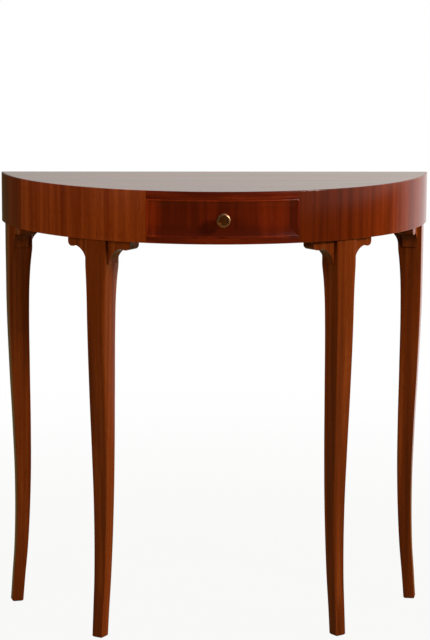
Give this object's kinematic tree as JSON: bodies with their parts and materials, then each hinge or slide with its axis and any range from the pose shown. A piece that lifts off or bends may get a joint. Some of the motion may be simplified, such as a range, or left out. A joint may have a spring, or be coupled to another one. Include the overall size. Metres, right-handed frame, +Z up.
{
  "type": "demilune table",
  "caption": "Half-round side table with sabre legs, shaped corner brackets and a bow-fronted drawer that slides out by a round knob.",
  "frame": {"origin": "on the floor, under the middle of the table's bounding box, knob included", "axes": "+Z up, -Y towards the drawer's front, +Y towards the wall, +X to the right as seen from the front"},
  "size_m": [0.8, 0.3696, 0.82],
  "materials": {
    "mahogany_veneer": "upright-grain veneer under clear gloss lacquer",
    "mahogany_top": "clear gloss lacquer",
    "mahogany_rail": "lengthwise grain under clear gloss lacquer",
    "mahogany_leg": "solid, satin lacquer",
    "mahogany_drawer_front": "upright grain under clear gloss lacquer",
    "mahogany_moulding": "solid, gloss lacquer",
    "carcase_wood": "planed, unfinished",
    "drawer_wood": "planed and waxed",
    "plywood": "sanded",
    "beech_dowel": "plain",
    "aged_brass": "turned and aged",
    "screw_steel": "plain"
  },
  "bodies": {
    "table": {"apron_veneer_left": "mahogany_veneer", "apron_veneer_right": "mahogany_veneer", "top_panel": "mahogany_top", "top_edge_band": "mahogany_top", "upper_drawer_rail": "mahogany_rail", "lower_drawer_rail": "mahogany_rail", "leg_front_left": "mahogany_leg", "leg_front_right": "mahogany_leg", "leg_rear_left": "mahogany_leg", "leg_rear_right": "mahogany_leg", "bracket_front_left_outer": "mahogany_leg", "bracket_front_left_inner": "mahogany_leg", "bracket_front_right_outer": "mahogany_leg", "bracket_front_right_inner": "mahogany_leg", "bracket_rear_left_forward": "mahogany_leg", "bracket_rear_left_inner": "mahogany_leg", "bracket_rear_right_forward": "mahogany_leg", "bracket_rear_right_inner": "mahogany_leg", "apron_left": "carcase_wood", "apron_right": "carcase_wood", "back_rail": "carcase_wood", "runner_left": "carcase_wood", "runner_right": "carcase_wood", "guide_left": "carcase_wood", "guide_right": "carcase_wood", "kicker_left": "carcase_wood", "kicker_right": "carcase_wood", "drawer_stops": "carcase_wood", "glue_blocks": "carcase_wood", "bracket_dowels": "beech_dowel", "rail_dowels": "beech_dowel", "runner_dowels": "beech_dowel", "back_rail_dowels": "beech_dowel", "leg_screws": "screw_steel", "top_screws": "screw_steel", "guide_screws": "screw_steel", "runner_screws": "screw_steel"},
    "drawer": {"drawer_front": "mahogany_drawer_front", "drawer_moulding_top": "mahogany_moulding", "drawer_moulding_bottom": "mahogany_moulding", "drawer_moulding_left": "mahogany_moulding", "drawer_moulding_right": "mahogany_moulding", "drawer_side_left": "drawer_wood", "drawer_side_right": "drawer_wood", "drawer_back": "drawer_wood", "drawer_bottom": "plywood", "drawer_knob": "aged_brass", "knob_rose": "aged_brass", "drawer_bottom_screws": "screw_steel", "knob_screw": "screw_steel"}
  },
  "joints": [
    {"name": "drawer_slide", "type": "slide", "parent": "table", "child": "drawer", "axis": [0, -1, 0], "range_m": [0, 0.2]}
  ]
}
